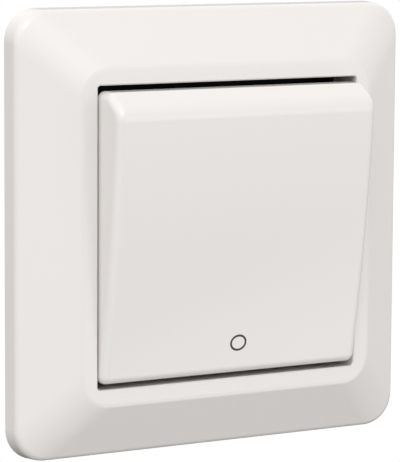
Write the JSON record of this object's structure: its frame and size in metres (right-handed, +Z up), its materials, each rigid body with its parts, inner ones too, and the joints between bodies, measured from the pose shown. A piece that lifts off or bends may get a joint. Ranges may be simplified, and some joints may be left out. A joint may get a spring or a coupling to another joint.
{
  "type": "wall pushbutton switch",
  "caption": "Square flush wall pushbutton with a wide tilting button in a sloped frame, on a steel mounting plate with a sprung contact mechanism behind.",
  "frame": {"origin": "centre of the fixing plane: midway between the fixing screws, on the wall's surface", "axes": "+Z up the wall, -Y out of the wall towards the room, +X to the right as seen from the room"},
  "size_m": [0.085, 0.0414, 0.085],
  "materials": {
    "gloss_white": "glossy warm white moulding",
    "pale_grey": "satin pale grey moulding",
    "dark_grey": "satin dark grey thermoset",
    "orange_nylon": "satin orange nylon",
    "zinc_steel": "zinc plated steel",
    "black_steel": "black passivated steel",
    "spring_steel": "bright spring steel",
    "brass_strip": "pressed brass strip",
    "copper": "bright copper strip",
    "silver": "silver alloy"
  },
  "bodies": {
    "switch": {"cover_frame": "gloss_white", "mounting_plate": "black_steel", "mechanism_cover": "pale_grey", "mechanism_base": "dark_grey", "cover_screws": "zinc_steel", "return_spring": "spring_steel", "terminal_bar_left": "brass_strip", "terminal_bar_right": "brass_strip", "fixed_contact_left": "silver", "fixed_contact_right": "silver", "clamp_spring_left": "spring_steel", "clamp_spring_right": "spring_steel"},
    "button": {"button_cap": "gloss_white", "cradle": "pale_grey"},
    "plunger": {"plunger": "orange_nylon", "contact_bridge": "copper", "bridge_contacts": "silver", "contact_spring": "spring_steel"},
    "release_left": {"release_lever_left": "orange_nylon"},
    "release_right": {"release_lever_right": "orange_nylon"}
  },
  "joints": [
    {"name": "button_press", "type": "hinge", "parent": "switch", "child": "button", "pos_m": [0, -0.0065, 0], "axis": [-1, 0, 0], "range_deg": [0, 7], "stiffness_Nm_per_rad": 0.4, "springref_deg": -6.88},
    {"name": "plunger_slide", "type": "slide", "parent": "switch", "child": "plunger", "axis": [0, 1, 0], "range_m": [0, 0.0015], "deforming": ["return_spring"]},
    {"name": "release_slide_left", "type": "slide", "parent": "switch", "child": "release_left", "axis": [0, -1, 0], "range_m": [0, 0.0012], "stiffness_N_per_m": 1500, "springref_m": -0.0005, "deforming": ["clamp_spring_left"]},
    {"name": "release_slide_right", "type": "slide", "parent": "switch", "child": "release_right", "axis": [0, -1, 0], "range_m": [0, 0.0012], "stiffness_N_per_m": 1500, "springref_m": -0.0005, "deforming": ["clamp_spring_right"]}
  ],
  "couplings": [
    {"joint": "plunger_slide", "follows": "button_press", "m_per_rad": 0.0122}
  ]
}
